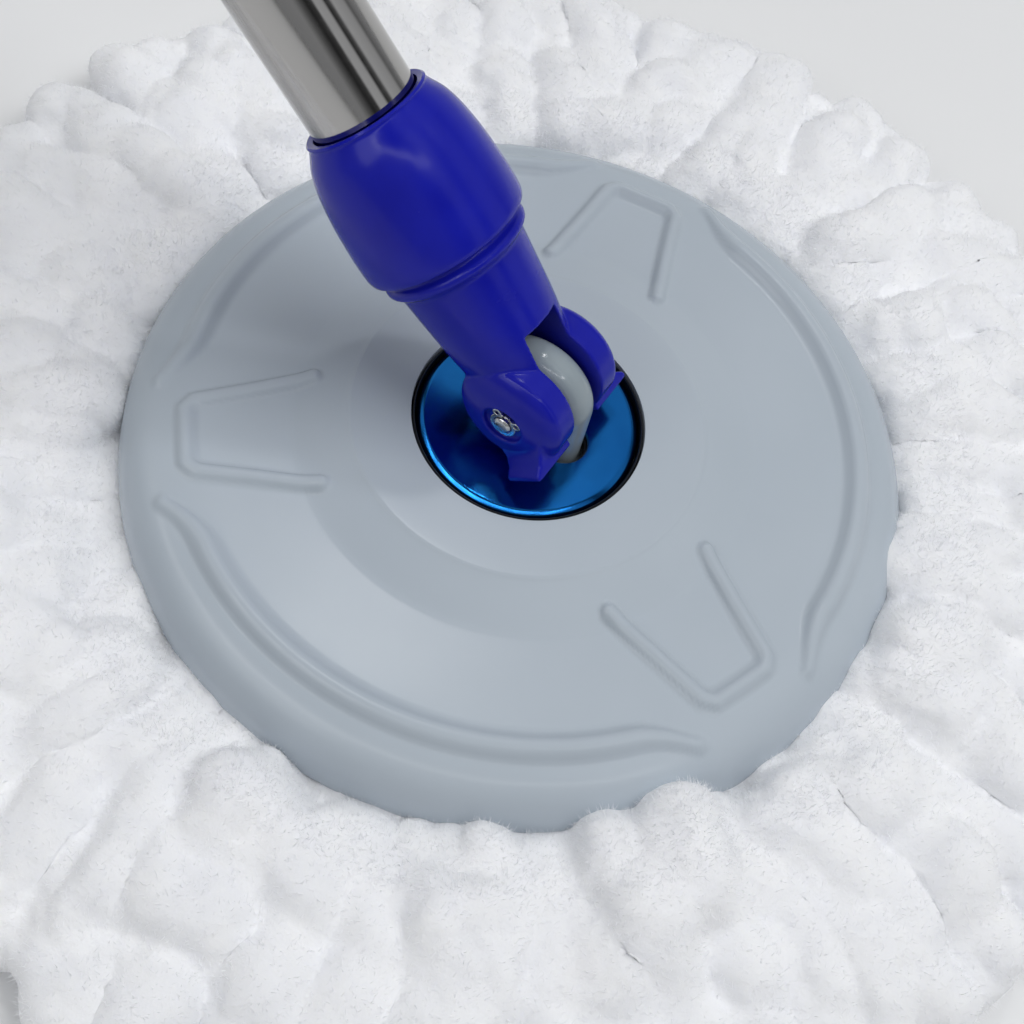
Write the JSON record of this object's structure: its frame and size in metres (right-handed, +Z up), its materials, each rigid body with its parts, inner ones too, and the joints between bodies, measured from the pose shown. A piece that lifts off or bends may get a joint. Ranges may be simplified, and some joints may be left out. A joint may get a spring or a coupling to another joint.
{
  "type": "spin mop",
  "caption": "Spin mop with a round microfibre head under a ribbed plate, a turning tilting knuckle joint and a telescopic pole with a twisted drive strip.",
  "frame": {"origin": "middle of the pad's flat floor face, on the swivel's axis, with the mop standing on its pad", "axes": "+Z up from the floor along the swivel's axis, +Y along the hinge pin, and the pole leans towards -X in the rest pose"},
  "size_m": [0.7884, 0.32, 0.6547],
  "materials": {
    "plate_plastic": "satin",
    "microfibre": "matte",
    "ring_plastic": "satin",
    "black_plastic": "satin",
    "steel": "polished",
    "anodised_blue": "gloss",
    "knuckle_plastic": "gloss",
    "blue_plastic": "gloss",
    "stainless_tube": "polished",
    "grip_plastic": "matte"
  },
  "bodies": {
    "head": {"mop_plate": "plate_plastic", "mop_pad": "microfibre", "pad_ring": "ring_plastic", "liner_ring": "black_plastic", "bearing_housing": "black_plastic", "housing_screw_1": "steel", "housing_screw_2": "steel", "housing_screw_3": "steel", "housing_screw_4": "steel", "bearing_outer_race": "steel", "ball_cage": "steel", "bearing_ball_1": "steel", "bearing_ball_2": "steel", "bearing_ball_3": "steel", "bearing_ball_4": "steel", "bearing_ball_5": "steel", "bearing_ball_6": "steel", "bearing_ball_7": "steel"},
    "swivel": {"cover_disc": "anodised_blue", "turntable": "black_plastic", "knuckle": "knuckle_plastic", "bearing_inner_race": "steel", "retaining_washer": "steel", "retaining_screw": "steel"},
    "handle": {"fork": "blue_plastic", "hinge_pin": "steel", "circlip": "steel", "sleeve": "blue_plastic", "sleeve_screw": "steel", "lower_tube": "stainless_tube", "strip_anchor": "black_plastic", "twisted_strip": "steel", "snap_ring": "steel"},
    "guide": {"guide_collar": "blue_plastic", "lever_pin": "steel"},
    "lever": {"lock_lever": "grip_plastic"},
    "upper_pole": {"upper_tube": "stainless_tube", "drive_nut": "black_plastic", "grip": "grip_plastic", "end_cap": "blue_plastic"}
  },
  "joints": [
    {"name": "head_swivel", "type": "hinge", "parent": "head", "child": "swivel", "pos_m": [0, 0, 0.0193], "axis": [0, 0, 1], "continuous": true},
    {"name": "pole_tilt", "type": "hinge", "parent": "swivel", "child": "handle", "pos_m": [0, 0, 0.0474], "axis": [0, 1, 0], "range_deg": [-34, 126]},
    {"name": "pole_spin", "type": "hinge", "parent": "handle", "child": "guide", "pos_m": [0, 0, 0.0474], "axis": [-0.7193, 0, 0.6947], "range_deg": [0, 1081]},
    {"name": "pole_slide", "type": "slide", "parent": "guide", "child": "upper_pole", "axis": [-0.7193, 0, 0.6947], "range_m": [0, 0.3]},
    {"name": "lever_flip", "type": "hinge", "parent": "guide", "child": "lever", "pos_m": [-0.35278, 0, 0.41338], "axis": [0, -1, 0], "range_deg": [0, 100]}
  ],
  "couplings": [
    {"joint": "pole_spin", "follows": "pole_slide", "rad_per_m": 62.832}
  ]
}
